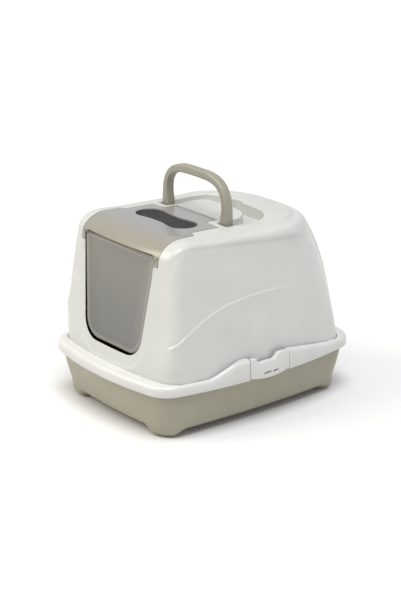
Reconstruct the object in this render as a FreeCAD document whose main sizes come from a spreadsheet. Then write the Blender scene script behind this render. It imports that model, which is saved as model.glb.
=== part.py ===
import FreeCAD, Part
import math
import os

import Sketcher
from FreeCAD import Placement, Rotation, Vector

# Hooded cat litter box, in millimetres. X is the width, the front faces -Y and +Z is up.
# The origin is on the ground under the middle of the box.

DOC = FreeCAD.newDocument("litter_box")
SHEET = DOC.addObject("Spreadsheet::Sheet", "Dimensions")

DIMENSIONS = [
    # flange: the white rim round the foot of the hood
    ("rim_half_width", 201, "outer face of the flange, at the middle of a side"),
    ("rim_half_length", 251, "outer face of the flange, at the middle of the front"),
    ("rim_side_radius", 950, "bulge of the long sides in plan"),
    ("rim_end_radius", 680, "bulge of the front and back in plan"),
    ("rim_corner", 48, "corner radius in plan"),
    ("rim_base", 92, "lower edge of the flange"),
    ("rim_top", 112, "top of the flange"),
    ("rim_raised", 133, "top of the flange beside the clips"),
    ("rim_round", 7, "rounding of the flange's top edge"),
    ("wall", 3, "wall of the hood and the tray"),
    # hood
    ("hood_side_low", 1900, "bulge of the side walls in plan, at the flange"),
    ("hood_side_high", 5000, "bulge of the side walls in plan, from a third of the way up"),
    ("hood_front_radius", 960, "bulge of the front wall in plan"),
    ("hood_back_radius", 710, "bulge of the back wall in plan"),
    ("front_corner_low", 50, "front corners at the flange"),
    ("front_corner_high", 26, "front corners from a third of the way up"),
    ("back_corner_low", 52, "back corners at the flange"),
    ("back_corner_high", 110, "back corners at the top"),
    ("top_fall", 0.033, "slope of the top, down towards the back"),
    # tray
    ("foot_height", 13, "gap under the tray"),
    ("tray_top", 108.7, "upper edge of the tray, just under the flange"),
    ("tray_half_width", 191.5, "tray wall at the flange's lower edge"),
    ("tray_half_length", 241, "tray wall at the flange's lower edge"),
    ("tray_draft", 0.277, "slope of the tray wall"),
    ("tray_floor_round", 12, "rounding under the tray"),
    ("foot_x", 121, "centre of a foot"),
    ("foot_y", 185, "centre of a foot"),
    ("foot_radius", 24, "foot at the ground, before rounding"),
    # door and flip cover
    ("door_bottom", 142, "lower edge of the door"),
    ("door_half_foot", 82.6, "half the door's width along its lower edge, without corners"),
    ("door_flare", 0.125, "how the door widens upwards, each side"),
    ("door_lean", 0.1054, "slope of the door, back towards the top"),
    ("door_corner", 40, "lower corners of the door"),
    ("door_gap", 2.5, "gap round the door"),
    ("door_thick", 3.6, "rim of the door"),
    ("door_rim", 7, "width of the door's rim"),
    ("door_axis_y", -191.8, "hinge of the door"),
    ("door_axis_z", 333, "hinge of the door"),
    ("door_barrel", 3, "radius of the rolled top edge of the door"),
    ("cover_lip", 338.5, "lower edge of the cover, over the door"),
    ("cover_foot", 320, "lower end of the cover's two legs"),
    ("cover_skin", 2.7, "thickness of the flip cover"),
    ("cover_gap", 0.7, "gap round the flip cover"),
    ("cover_axis_y", -17, "hinge of the flip cover"),
    ("cover_axis_z", 356.2, "hinge of the flip cover"),
    # filter
    ("slot_half_length", 74, "window over the filter, along the width"),
    ("slot_half_width", 28, "window over the filter, front to back"),
    ("slot_waist", 5, "how much the window narrows at its middle, each side"),
    ("slot_y", -83, "middle of the window"),
    ("filter_half_length", 84, "filter pad, along the width"),
    ("filter_half_width", 36, "filter pad, front to back"),
    ("filter_thick", 8, "filter pad"),
    ("cradle_base", 347, "underside of the filter's cradle"),
    ("cradle_wall", 1.8, "walls and floor of the cradle"),
    # handle
    ("handle_axis_y", -14, "hinge of the handle"),
    ("handle_axis_z", 352, "hinge of the handle"),
    ("handle_span", 88, "middle of a leg from the middle of the box"),
    ("handle_crown", 439, "middle of the grip"),
    ("handle_bend", 37, "bend between leg and grip"),
    ("handle_bar", 19, "thickness of the handle in its own plane"),
    ("handle_depth", 18, "depth of the handle"),
    ("handle_edge", 6, "rounding of the handle's edges"),
    ("pivot_radius", 3, "handle pivot pins"),
    # clips
    ("clip_half_length", 47, "side clip, along the box"),
    ("clip_thick", 3.4, "plate of the side clip"),
    ("clip_face", 201.2, "outer face of the side clip"),
    ("clip_axis_x", 194.2, "hinge of the side clip"),
    ("clip_axis_z", 129, "hinge of the side clip"),
    ("clip_barrel", 3.6, "barrel round the clip's pivots"),
    ("clip_ear", 25, "start of the clip's ears, from its middle"),
    ("rod_radius", 1.5, "clip pivots and the hinge rod of the flip cover"),
    ("door_pin", 2, "radius of the door's pivot pins"),
    ("running", 0.05, "radial clearance of a turning pin"),
]

# The hood's offsets: at each level, half its width and how far it reaches to the front and
# to the back. Levels are heights over the middle of the box: each section tips down
# towards the back a little more than the one below it.
HOOD_OFFSETS = [
    (80, 194, 229.5, 232),
    (112, 189.5, 226, 229),
    (156, 183.5, 221.3, 225),
    (200, 177.5, 216.6, 219.5),
    (240, 172, 212.4, 213.5),
    (280, 166.3, 208.2, 205.5),
    (316, 160.5, 203.6, 195.5),
    (332, 157.5, 199.3, 190),
    (343, 154.8, 191, 184.8),
    (350, 150.5, 181, 179.5),
    (354.8, 141, 169.5, 173),
    (359, 112, 154, 162),
]


OFFSET_KINDS = ("hood_level", "hood_width", "hood_front", "hood_back")


def fill_sheet():
    for row, (alias, value, note) in enumerate(DIMENSIONS, start=1):
        SHEET.set(f"A{row}", alias)
        SHEET.set(f"B{row}", str(value))
        SHEET.set(f"C{row}", note)
        SHEET.setAlias(f"B{row}", alias)
    for row, offsets in enumerate(HOOD_OFFSETS, start=1):
        for column, kind, value in zip("EFGH", OFFSET_KINDS, offsets):
            SHEET.set(f"{column}{row}", str(value))
            SHEET.setAlias(f"{column}{row}", f"{kind}_{row}")
    DOC.recompute()


def size(alias):
    return float(SHEET.get(alias))


# ---------------------------------------------------------------- shared shapes


def feature(label, shape):
    item = DOC.addObject("Part::Feature", label)
    item.Label = label
    item.Shape = shape
    return item


def block(x0, x1, y0, y1, z0, z1):
    return Part.makeBox(x1 - x0, y1 - y0, z1 - z0, Vector(x0, y0, z0))


def prism(points, start, end, axis):
    """Extrudes a closed outline, given as 2D points, from start to end along an axis."""
    place = {
        "X": lambda a, b: Vector(start, a, b),
        "Y": lambda a, b: Vector(a, start, b),
        "Z": lambda a, b: Vector(a, b, start),
    }[axis]
    along = {"X": Vector(1, 0, 0), "Y": Vector(0, 1, 0), "Z": Vector(0, 0, 1)}[axis]
    corners = [place(a, b) for a, b in points]
    face = Part.Face(Part.makePolygon(corners + corners[:1]))
    return face.extrude(along * (end - start))


def corner_centre(side, side_radius, end, end_radius, corner, sign):
    """Centre of the corner arc that touches the side arc and the end arc from inside."""
    r1, r2 = side_radius - corner, end_radius - corner
    line = end - side
    gap = line.Length
    along = (r1**2 - r2**2 + gap**2) / (2 * gap)
    across = math.sqrt(r1**2 - along**2)
    unit = line / gap
    normal = Vector(-unit.y, unit.x, 0)
    options = [side + unit * along + normal * (across * s) for s in (1, -1)]
    return max(options, key=lambda p: sign * p.y + p.x)


def barrel(z, half_width, front, back, side_radius, front_radius, back_radius, corners):
    """A closed outline at height z: four bulging sides joined by tangent corner arcs."""
    side = Vector(half_width - side_radius, 0, 0)
    ends = {
        -1: (Vector(0, front_radius - front, 0), front_radius, corners[0]),
        1: (Vector(0, back - back_radius, 0), back_radius, corners[1]),
    }
    touch = {}
    for sign, (end, end_radius, corner) in ends.items():
        centre = corner_centre(side, side_radius, end, end_radius, corner, sign)
        on_side = side + (centre - side).normalize() * side_radius
        on_end = end + (centre - end).normalize() * end_radius
        middle = centre + ((on_side - centre) + (on_end - centre)).normalize() * corner
        touch[sign] = (on_side, middle, on_end)
    right = [touch[-1][2], touch[-1][1], touch[-1][0], Vector(half_width, 0, 0)]
    right += [touch[1][0], touch[1][1], touch[1][2]]
    left = [Vector(-p.x, p.y, 0) for p in reversed(right)]
    loop = right + [Vector(0, back, 0)] + left + [Vector(0, -front, 0)] + right[:1]
    lift = Vector(0, 0, z)
    loop = [p + lift for p in loop]
    arcs = [Part.Arc(*loop[i : i + 3]).toShape() for i in range(0, len(loop) - 2, 2)]
    return Part.Wire(arcs)


def rim_barrel(z, inset):
    """The flange's plan outline, moved inwards by inset."""
    return barrel(
        z,
        size("rim_half_width") - inset,
        size("rim_half_length") - inset,
        size("rim_half_length") - inset,
        size("rim_side_radius"),
        size("rim_end_radius"),
        size("rim_end_radius"),
        (size("rim_corner") - inset, size("rim_corner") - inset),
    )


# ---------------------------------------------------------------- hood form


def blend(name, share):
    """A size that changes from its low value to its high value."""
    return size(f"{name}_low") * (1 - share) + size(f"{name}_high") * share


def hood_section(row, inset):
    """One level of the hood's outer form, moved inwards by inset."""
    level, half_width, front, back = (size(f"{kind}_{row}") for kind in OFFSET_KINDS)
    top = size(f"hood_level_{len(HOOD_OFFSETS)}")
    rise = max(level - size("rim_top"), 0) / (top - size("rim_top"))
    low_part = max(1 - 3 * rise, 0)
    bend = low_part / size("hood_side_low") + (1 - low_part) / size("hood_side_high")
    front_corner = blend("front_corner", 1 - low_part)
    back_corner = blend("back_corner", rise)
    corners = (
        min(front_corner, 0.8 * half_width) - inset,
        min(back_corner, 0.8 * half_width, 0.8 * back) - inset,
    )
    outline = barrel(
        level - inset,
        half_width - inset,
        front - inset,
        back - inset,
        1 / bend,
        size("hood_front_radius"),
        size("hood_back_radius"),
        corners,
    )
    tip = -math.degrees(math.atan(size("top_fall") * rise**2))
    outline.rotate(Vector(0, 0, level - inset), Vector(1, 0, 0), tip)
    return outline


def hood_form(inset):
    """The hood's outer form as a solid, moved inwards by inset."""
    rows = range(1, len(HOOD_OFFSETS) + 1)
    return Part.makeLoft([hood_section(row, inset) for row in rows], True, False)


# ---------------------------------------------------------------- hood shell


def flange_profile(drop):
    """Side view of the flange as a solid across the box: raised beside the clips."""
    base, top, raised = size("rim_base"), size("rim_top") - drop, size("rim_raised") - drop
    reach = size("rim_half_length") + 20
    low, high = 132, 88
    middle = (low + high) / 2
    curves = []
    for side in (-1, 1):
        poles = [(low, top), (middle, top), (middle, raised), (high, raised)]
        poles = [Vector(0, side * y, z) for y, z in poles]
        curve = Part.BezierCurve()
        curve.setPoles(poles if side < 0 else poles[::-1])
        curves.append(curve.toShape())
    front, back = Vector(0, -reach, top), Vector(0, reach, top)
    outline = [
        Part.makeLine(front, Vector(0, -low, top)),
        curves[0],
        Part.makeLine(Vector(0, -high, raised), Vector(0, high, raised)),
        curves[1],
        Part.makeLine(Vector(0, low, top), back),
        Part.makeLine(back, Vector(0, reach, base - 20)),
        Part.makeLine(Vector(0, reach, base - 20), Vector(0, -reach, base - 20)),
        Part.makeLine(Vector(0, -reach, base - 20), front),
    ]
    face = Part.Face(Part.Wire(outline))
    face.translate(Vector(-300, 0, 0))
    return face.extrude(Vector(600, 0, 0))


def rim_solid(inset, z0, z1):
    return Part.Face(rim_barrel(z0, inset)).extrude(Vector(0, 0, z1 - z0))


def flange(room):
    """The flange: a skirt outside the tray's edge and a shoulder up to the hood wall."""
    base, wall = size("rim_base"), size("wall")
    outer = rim_solid(0, base, size("rim_raised") + 20).common(flange_profile(0))
    top_edges = [e for e in outer.Edges if e.BoundBox.ZMin > size("rim_top") - 1]
    outer = outer.makeFillet(size("rim_round"), top_edges)
    hollow = rim_solid(wall, base - 5, size("rim_raised") + 20).common(flange_profile(wall))
    ribs = [
        block(side * 187 if side > 0 else -201, side * 201 if side > 0 else -187, y0, y1, 112, 140)
        for side in (-1, 1)
        for y0, y1 in ((47.8, 54), (-54, -47.8))
    ]
    hollow = hollow.cut(Part.makeCompound(ribs))
    return outer.cut(hollow).cut(room)


def clip_notches():
    half, base = size("clip_half_length") + 0.8, size("rim_base") - 5
    top = size("rim_raised") + 10
    return [block(x0, x1, -half, half, base, top) for x0, x1 in ((189.9, 215), (-215, -189.9))]


def footprint(gap, z0, z1):
    """Plan of the flip cover: wide front, a step, two rear corners and a tongue."""
    grow = gap
    half = [
        (121 + grow, -265),
        (114 + grow, -110),
        (100 + grow, -104),
        (100 + grow, -42.5 + grow),
        (63.3 + grow, -42.5 + grow),
        (63.3 + grow, -13 + grow * 4),
    ]
    return prism(half + [(-x, y) for x, y in reversed(half)], z0, z1, "Z")


def door_outline(grow, top):
    """Door seen from the front, grown by grow: a wire in the XZ plane at y = 0."""
    flare, corner = size("door_flare"), size("door_corner") + grow
    bottom = size("door_bottom") - grow
    slant = math.sqrt(1 + flare**2)
    foot = size("door_half_foot") + grow * slant - flare * grow
    head = foot + flare * (top - bottom)
    # the corner arc touches the lower edge and the slanting side
    tangent = corner * (slant - flare)
    unit = Vector(flare, 0, 1) / slant
    low = Vector(foot - tangent, 0, bottom)
    high = Vector(foot, 0, bottom) + unit * tangent
    centre = low + Vector(0, 0, corner)
    middle = centre + ((low - centre) + (high - centre)).normalize() * corner
    right = [low, middle, high, Vector(head, 0, top)]
    left = [Vector(-p.x, 0, p.z) for p in right]
    return Part.Wire(
        [
            Part.Arc(*right[:3]).toShape(),
            Part.makeLine(right[2], right[3]),
            Part.makeLine(right[3], left[3]),
            Part.makeLine(left[3], left[2]),
            Part.Arc(left[2], left[1], left[0]).toShape(),
            Part.makeLine(left[0], right[0]),
        ]
    )


def door_prism(grow, top, y0=-280, y1=-120):
    face = Part.Face(door_outline(grow, top))
    face.translate(Vector(0, y0, 0))
    return face.extrude(Vector(0, y1 - y0, 0))


def channel(grow, z0, z1):
    """The U-shaped trough that the handle folds into, grown by grow."""
    outer = rounded_bar(101.5 + grow, -26 - grow, 84.5 + grow, 40 + grow, z0, z1)
    inner = rounded_bar(75.5 - grow, -60, 56 - grow, 28 - grow, z0 - 1, z1 + 1)
    return outer.cut(inner)


def rounded_bar(half_width, y0, y1, corner, z0, z1):
    """A block whose two rear corners are rounded."""
    solid = block(-half_width, half_width, y0, y1, z0, z1)
    edges = [
        e for e in solid.Edges if e.BoundBox.ZLength > 1 and e.BoundBox.YMin > y1 - 0.01
    ]
    return solid.makeFillet(corner, edges)


def hinge_bore(radius, x0, x1, y, z):
    return Part.makeCylinder(radius, x1 - x0, Vector(x0, y, z), Vector(1, 0, 0))


def hood_trough(skin):
    """Walls and floor of the handle's trough, under the top."""
    floor, wall = trough_floor(), size("wall")
    room = channel(wall, floor - wall, 380)
    scoop = block(-17, 17, 80, 98, floor + 3, 380)
    return room.fuse(scoop).common(skin)


def trough_floor():
    return size("handle_axis_z") - size("handle_depth") / 2 - 0.8


def hood_shell():
    wall = size("wall")
    outer, room = hood_form(0), hood_form(wall)
    skin = hood_form(wall / 2)
    below = block(-300, 300, -300, 300, 0, size("rim_top") - wall)
    shell = outer.cut(room).cut(below)
    shell = shell.fuse([flange(room), hood_trough(skin)])
    ledge = room.cut(hood_form(2 * wall)).common(footprint(6, 316, 380))
    ledge = ledge.cut(footprint(-3.5, 300, 390)).common(block(-200, 200, -230, -50, 316, 380))
    y, z = size("cover_axis_y"), size("cover_axis_z")
    lugs = [block(x0, x1, y - 5, y + 5, z - 5, z + 8) for x0, x1 in ((65, 73), (-73, -65))]
    lugs = [lug.common(skin) for lug in lugs]
    shell = shell.fuse([ledge] + lugs)
    opening = footprint(0, size("cover_foot") - 1, 400).cut(Part.makeCompound([ledge] + lugs))
    tools = [opening, door_prism(size("door_gap"), size("cover_foot"))]
    tools += [channel(0, trough_floor(), 400), block(-14, 14, 78, 94, trough_floor() + 6, 400)]
    tools += clip_notches()
    shell = shell.cut(tools)
    axis_y, axis_z = size("handle_axis_y"), size("handle_axis_z")
    bores = [hinge_bore(size("rod_radius"), -70, 70, y, z)]
    bores += [
        hinge_bore(size("pivot_radius"), x0, x1, axis_y, axis_z)
        for x0, x1 in ((72, 104.8), (-104.8, -72))
    ]
    bores += [
        Part.makeCylinder(
            size("rod_radius"), 104.6, Vector(side * size("clip_axis_x"), -52.3, size("clip_axis_z")),
            Vector(0, 1, 0),
        )
        for side in (-1, 1)
    ]
    return feature("hood_shell", shell.cut(bores).removeSplitter())


# ---------------------------------------------------------------- tray


def tray_outline(z, inset):
    top, base = size("rim_base"), size("foot_height")
    share = (z - base) / (top - base)
    widen = size("tray_draft") * (z - top)
    half_width = size("tray_half_width") + widen - inset
    half_length = size("tray_half_length") + widen - inset
    side_radius = 2270 + (size("rim_side_radius") - 2270) * share
    end_radius = 1110 + (size("rim_end_radius") - 1110) * share
    corner = 53 - 8 * share - inset
    return barrel(
        z, half_width, half_length, half_length, side_radius, end_radius, end_radius,
        (corner, corner),
    )


def tray_form(z0, z1, inset, rounding):
    solid = Part.makeLoft([tray_outline(z0, inset), tray_outline(z1, inset)], True, True)
    edges = [e for e in solid.Edges if e.BoundBox.ZMax < z0 + 0.01]
    return solid.makeFillet(rounding, edges)


def tray_foot(x, y):
    radius, height = size("foot_radius"), size("foot_height") + 24
    cone = Part.makeCone(radius, radius + 6, height, Vector(x, y, 0))
    edges = [e for e in cone.Edges if e.BoundBox.ZMax < 0.01]
    return cone.makeFillet(12, edges)


def tray():
    wall, base = size("wall"), size("foot_height")
    outer = tray_form(base, size("tray_top"), 0, size("tray_floor_round"))
    feet = [
        tray_foot(sx * size("foot_x"), sy * size("foot_y")) for sx in (-1, 1) for sy in (-1, 1)
    ]
    room = tray_form(base + wall, size("tray_top") + 5, wall, size("tray_floor_round") - wall)
    shell = outer.fuse(feet).cut(room)
    catches = [
        block(x0, x1, -20, 20, 97.3, 100.3).cut(room) for x0, x1 in ((180, 197.3), (-197.3, -180))
    ]
    return feature("tray", shell.fuse(catches).removeSplitter())


# ---------------------------------------------------------------- flip cover and door


def window(z0, z1):
    """The waisted opening over the filter."""
    length, half, waist = size("slot_half_length"), size("slot_half_width"), size("slot_waist")
    y, shoulder = size("slot_y"), size("slot_half_length") - size("slot_half_width")
    points = {
        (sx, sy): Vector(sx * shoulder, y + sy * half, z0) for sx in (-1, 1) for sy in (-1, 1)
    }
    wire = Part.Wire(
        [
            Part.Arc(points[-1, -1], Vector(0, y - half + waist, z0), points[1, -1]).toShape(),
            Part.Arc(points[1, -1], Vector(length, y, z0), points[1, 1]).toShape(),
            Part.Arc(points[1, 1], Vector(0, y + half - waist, z0), points[-1, 1]).toShape(),
            Part.Arc(points[-1, 1], Vector(-length, y, z0), points[-1, -1]).toShape(),
        ]
    )
    return Part.Face(wire).extrude(Vector(0, 0, z1 - z0))


def flip_cover():
    y, z, gap = size("cover_axis_y"), size("cover_axis_z"), size("cover_gap")
    skin = hood_form(0).cut(hood_form(size("cover_skin")))
    shell = skin.common(footprint(-gap, size("cover_foot"), 400))
    shell = shell.cut(door_prism(1.5, size("cover_lip"), y1=-150))
    barrel_radius = size("cover_skin") + 0.6
    half_tongue = 63.3 - gap
    parts = [hinge_bore(barrel_radius, -half_tongue, half_tongue, y, z)]
    door_y, door_z = size("door_axis_y"), size("door_axis_z")
    parts += [
        hinge_bore(5.2, x0, x1, door_y, door_z).common(hood_form(0.4))
        for x0, x1 in ((108.3, 112.8), (-112.8, -108.3))
    ]
    shell = shell.fuse(parts)
    loose = size("door_pin") + size("running")
    tools = [
        window(330, 400),
        hinge_bore(size("rod_radius") + size("running"), -80, 80, y, z),
        hinge_bore(loose, 107, 113, door_y, door_z),
        hinge_bore(loose, -113, -107, door_y, door_z),
    ]
    return feature("flip_cover", shell.cut(tools).removeSplitter())


def leaning_slab(depth, thick):
    """A flat slab parallel to the door: depth behind the door's front plane."""
    lean, top = size("door_lean"), size("door_axis_z")
    face_y = size("door_axis_y") - size("door_thick") / 2 + depth
    low, high = 100, 380
    foot, head = (face_y + lean * (z - top) for z in (low, high))
    points = [(foot, low), (head, high), (head + thick, high), (foot + thick, low)]
    return prism(points, -150, 150, "X")


def door_flap():
    y, z = size("door_axis_y"), size("door_axis_z")
    top, rim = z, size("door_rim")
    outline, middle = door_prism(0, top), door_prism(-rim, top - rim)
    frame = outline.cut(middle).common(leaning_slab(0, size("door_thick")))
    panel = door_prism(-rim / 2, top - rim / 2).common(leaning_slab(1, 1.8))
    half = size("door_half_foot") + size("door_flare") * (z - size("door_bottom")) - 0.6
    roll = hinge_bore(size("door_barrel"), -half, half, y, z)
    flap = frame.fuse([panel, roll])
    bores = [hinge_bore(size("door_pin"), x0, x1, y, z) for x0, x1 in ((94, 120), (-120, -94))]
    return feature("door_flap", flap.cut(bores).removeSplitter())


# ---------------------------------------------------------------- pins and rods


def rod(label, radius, length, base, along):
    """A plain round rod whose radius follows the sheet."""
    item = DOC.addObject("Part::Cylinder", label)
    item.Label = label
    item.setExpression("Radius", f"Dimensions.{radius}")
    item.Height = length
    item.Placement = Placement(base, Rotation(Vector(0, 0, 1), along))
    return item


def rods():
    across, lengthwise = Vector(1, 0, 0), Vector(0, 1, 0)
    items = []
    y, z = size("door_axis_y"), size("door_axis_z")
    for side, start in (("right", 94), ("left", -112.6)):
        items.append(rod(f"door_pivot_{side}", "door_pin", 18.6, Vector(start, y, z), across))
    y, z = size("handle_axis_y"), size("handle_axis_z")
    for side, start in (("right", 72.3), ("left", -104.7)):
        items.append(
            rod(f"handle_pivot_{side}", "pivot_radius", 32.4, Vector(start, y, z), across)
        )
    y, z = size("cover_axis_y"), size("cover_axis_z")
    items.append(rod("cover_hinge_rod", "rod_radius", 140, Vector(-70, y, z), across))
    x, z = size("clip_axis_x"), size("clip_axis_z")
    for side, place in (("right", x), ("left", -x)):
        for end, start in (("front", -52.3), ("rear", 27.3)):
            base = Vector(place, start, z)
            items.append(rod(f"clip_pivot_{side}_{end}", "rod_radius", 25, base, lengthwise))
    return items


# ---------------------------------------------------------------- bodies drawn from sketches


def new_body(label):
    body = DOC.addObject("PartDesign::Body", label)
    body.Label = label
    return body


def sketch_on(body, name, plane, distance=None):
    """An empty sketch on one of the body's origin planes, moved along its normal."""
    sketch = body.newObject("Sketcher::SketchObject", f"{body.Name}_{name}")
    role = f"{plane}_Plane"
    origin = next(f for f in body.Origin.OriginFeatures if f.Role == role)
    sketch.AttachmentSupport = (origin, "")
    sketch.MapMode = "FlatFace"
    if distance:
        sketch.setExpression("AttachmentOffset.Base.z", distance)
    return sketch


def draw(sketch, path, closed=True):
    """Lines and three-point arcs through the path; an arc's middle is given as (point,)."""
    points = path + path[:1] if closed else path
    count, at = 0, 0
    first = 0
    while at < len(points) - 1:
        start = Vector(*points[at], 0)
        if len(points[at + 1]) == 1:
            arc = Part.Arc(start, Vector(*points[at + 1][0], 0), Vector(*points[at + 2], 0))
            sketch.addGeometry(arc, False)
            at += 2
        else:
            sketch.addGeometry(Part.LineSegment(start, Vector(*points[at + 1], 0)), False)
            at += 1
        count += 1
    for index in range(first, count):
        sketch.addConstraint(Sketcher.Constraint("Block", index))


def draw_box(sketch, sides):
    """A rectangle whose four sides (left, right, bottom, top) follow sheet expressions."""
    corners = [(-10, -10), (10, -10), (10, 10), (-10, 10)]
    for start, end in zip(corners, corners[1:] + corners[:1]):
        sketch.addGeometry(Part.LineSegment(Vector(*start, 0), Vector(*end, 0)), False)
    for index in range(4):
        sketch.addConstraint(Sketcher.Constraint("Coincident", index, 2, (index + 1) % 4, 1))
    for kind, index in (("Horizontal", 0), ("Horizontal", 2), ("Vertical", 1), ("Vertical", 3)):
        sketch.addConstraint(Sketcher.Constraint(kind, index))
    ends = (("DistanceX", 0, 1), ("DistanceX", 1, 1), ("DistanceY", 0, 1), ("DistanceY", 2, 1))
    for (kind, index, point), side in zip(ends, sides):
        number = sketch.addConstraint(Sketcher.Constraint(kind, -1, 1, index, point, 10))
        sketch.setExpression(f"Constraints[{number}]", side)


def draw_circle(sketch, across, up, radius):
    """A circle whose centre and radius follow sheet expressions."""
    sketch.addGeometry(Part.Circle(Vector(10, 10, 0), Vector(0, 0, 1), 5), False)
    for kind, value in (("DistanceX", across), ("DistanceY", up)):
        number = sketch.addConstraint(Sketcher.Constraint(kind, -1, 1, 0, 3, 10))
        sketch.setExpression(f"Constraints[{number}]", value)
    number = sketch.addConstraint(Sketcher.Constraint("Radius", 0, 5))
    sketch.setExpression(f"Constraints[{number}]", radius)


def solid_from(body, kind, name, sketch, length, both_ways=False):
    """A Pad or a Pocket of the sketch; its length follows a sheet expression."""
    item = body.newObject(f"PartDesign::{kind}", f"{body.Name}_{name}")
    item.Profile = sketch
    item.setExpression("Length", length)
    if both_ways:
        item.SideType = "Symmetric"
    return item


def carry_handle():
    body = new_body("carry_handle")
    span, crown, bend = size("handle_span"), size("handle_crown"), size("handle_bend")
    foot = size("handle_axis_z")
    cut = bend * (1 - math.sqrt(0.5))
    spine = sketch_on(body, "spine", "XZ", "-Dimensions.handle_axis_y")
    path = [
        (span, foot), (span, crown - bend), ((span - cut, crown - cut),), (span - bend, crown),
        (bend - span, crown), ((cut - span, crown - cut),), (-span, crown - bend), (-span, foot),
    ]
    draw(spine, path, closed=False)
    section = sketch_on(body, "section", "XY", "Dimensions.handle_axis_z")
    half, deep, edge = size("handle_bar") / 2, size("handle_depth") / 2, size("handle_edge")
    y, step = size("handle_axis_y"), size("handle_edge") * (1 - math.sqrt(0.5))
    x0, x1, y0, y1 = span - half, span + half, y - deep, y + deep
    outline = [
        (x1, y0 + edge), (x1, y1 - edge), ((x1 - step, y1 - step),), (x1 - edge, y1),
        (x0 + edge, y1), ((x0 + step, y1 - step),), (x0, y1 - edge),
        (x0, y0 + edge), ((x0 + step, y0 + step),), (x0 + edge, y0),
        (x1 - edge, y0), ((x1 - step, y0 + step),),
    ]
    draw(section, outline)
    DOC.recompute()
    pipe = body.newObject("PartDesign::AdditivePipe", "carry_handle_bar")
    pipe.Profile = section
    pipe.Spine = (spine, [])
    DOC.recompute()
    for side, start in (
        ("right", "Dimensions.handle_span - Dimensions.handle_bar / 2"),
        ("left", "-Dimensions.handle_span - Dimensions.handle_bar / 2"),
    ):
        round_foot = sketch_on(body, f"foot_{side}", "YZ", start)
        draw_circle(
            round_foot, "Dimensions.handle_axis_y", "Dimensions.handle_axis_z",
            "Dimensions.handle_depth / 2",
        )
        solid_from(body, "Pad", f"foot_{side}_pad", round_foot, "Dimensions.handle_bar")
        DOC.recompute()
    bore = sketch_on(body, "bore", "YZ")
    draw_circle(
        bore, "Dimensions.handle_axis_y", "Dimensions.handle_axis_z",
        "Dimensions.pivot_radius + Dimensions.running",
    )
    solid_from(body, "Pocket", "bore_cut", bore, "Dimensions.handle_span * 3", both_ways=True)
    DOC.recompute()
    return body


def side_clip(side, sign):
    """One of the two clips that hold the tray; the left one is the right one turned round."""
    body = new_body(f"side_clip_{side}")
    face, thick = size("clip_face"), size("clip_thick")
    x, z, barrel_radius = size("clip_axis_x"), size("clip_axis_z"), size("clip_barrel")
    inner = face - thick
    profile = [
        (inner, 90), (face, 90), (face, z - 1), ((face - 1.7, z + 2.6),), (x + 2, z + barrel_radius),
        (x, z + barrel_radius), ((x - barrel_radius, z),), (x, z - barrel_radius),
        (inner, z - barrel_radius),
    ]
    mirrored = [
        ((-p[0][0], p[0][1]),) if len(p) == 1 else (-p[0], p[1]) for p in profile
    ]
    plate = sketch_on(body, "profile", "XZ")
    draw(plate, profile if sign > 0 else mirrored)
    length = "2 * Dimensions.clip_half_length"
    solid_from(body, "Pad", "plate", plate, length, both_ways=True)
    beak = sketch_on(body, "beak", "XZ")
    ends = [(inner + 1, 93.2), (inner - 2.8, 93.8), (inner - 2.8, 96.6), (inner + 1, 96.6)]
    draw(beak, [(sign * px, pz) for px, pz in ends])
    solid_from(body, "Pad", "beak_pad", beak, "Dimensions.clip_half_length * 0.75", both_ways=True)
    half, ear = size("clip_half_length"), size("clip_ear")
    front_view = sketch_on(body, "trim", "YZ")
    draw(front_view, [(-16, 122), (16, 122), (ear, 136), (-ear, 136)])
    solid_from(body, "Pocket", "trim_cut", front_view, "480", both_ways=True)
    foot = sketch_on(body, "foot", "YZ")
    draw(foot, [(-half - 2, 96.5), ((0, 91),), (half + 2, 96.5), (half + 2, 80), (-half - 2, 80)])
    solid_from(body, "Pocket", "foot_cut", foot, "480", both_ways=True)
    for name, y0, y1 in (("front", -14, -2), ("rear", 2, 14)):
        slot = sketch_on(body, f"slot_{name}", "YZ")
        draw(slot, [(y0, 99.2), (y1, 99.2), (y1, 100.8), (y0, 100.8)])
        solid_from(body, "Pocket", f"slot_{name}_cut", slot, "480", both_ways=True)
    bore = sketch_on(body, "bore", "XZ")
    draw_circle(
        bore, f"{sign} * Dimensions.clip_axis_x", "Dimensions.clip_axis_z",
        "Dimensions.rod_radius + Dimensions.running",
    )
    solid_from(body, "Pocket", "bore_cut", bore, "3 * Dimensions.clip_half_length", both_ways=True)
    DOC.recompute()
    return body


def filter_pad():
    body = new_body("filter_pad")
    plan = sketch_on(body, "plan", "XY", "Dimensions.cradle_base + Dimensions.cradle_wall")
    draw_box(plan, (
        "-Dimensions.filter_half_length",
        "Dimensions.filter_half_length",
        "Dimensions.slot_y - Dimensions.filter_half_width",
        "Dimensions.slot_y + Dimensions.filter_half_width",
    ))
    solid_from(body, "Pad", "slab", plan, "Dimensions.filter_thick")
    DOC.recompute()
    return body


def filter_cradle():
    """A shallow tray with an open grid, fixed under the flip cover."""
    wall, base, y = size("cradle_wall"), size("cradle_base"), size("slot_y")
    half_x, half_y = size("filter_half_length"), size("filter_half_width")
    outer, inner = wall + 0.2, 0.2
    shell = block(
        -half_x - outer, half_x + outer, y - half_y - outer, y + half_y + outer, base, 380
    )
    room = block(
        -half_x - inner, half_x + inner, y - half_y - inner, y + half_y + inner, base + wall, 390
    )
    pitch_x, pitch_y = half_x / 4, half_y / 2
    holes = [
        block(x + 2, x + pitch_x - 2, low + 2, low + pitch_y - 2, base - 1, base + wall + 1)
        for x in (-half_x + pitch_x * i for i in range(8))
        for low in (y - half_y + pitch_y * j for j in range(4))
    ]
    shell = shell.cut([room] + holes).common(hood_form(size("cover_skin")))
    return feature("filter_cradle", shell)


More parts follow.
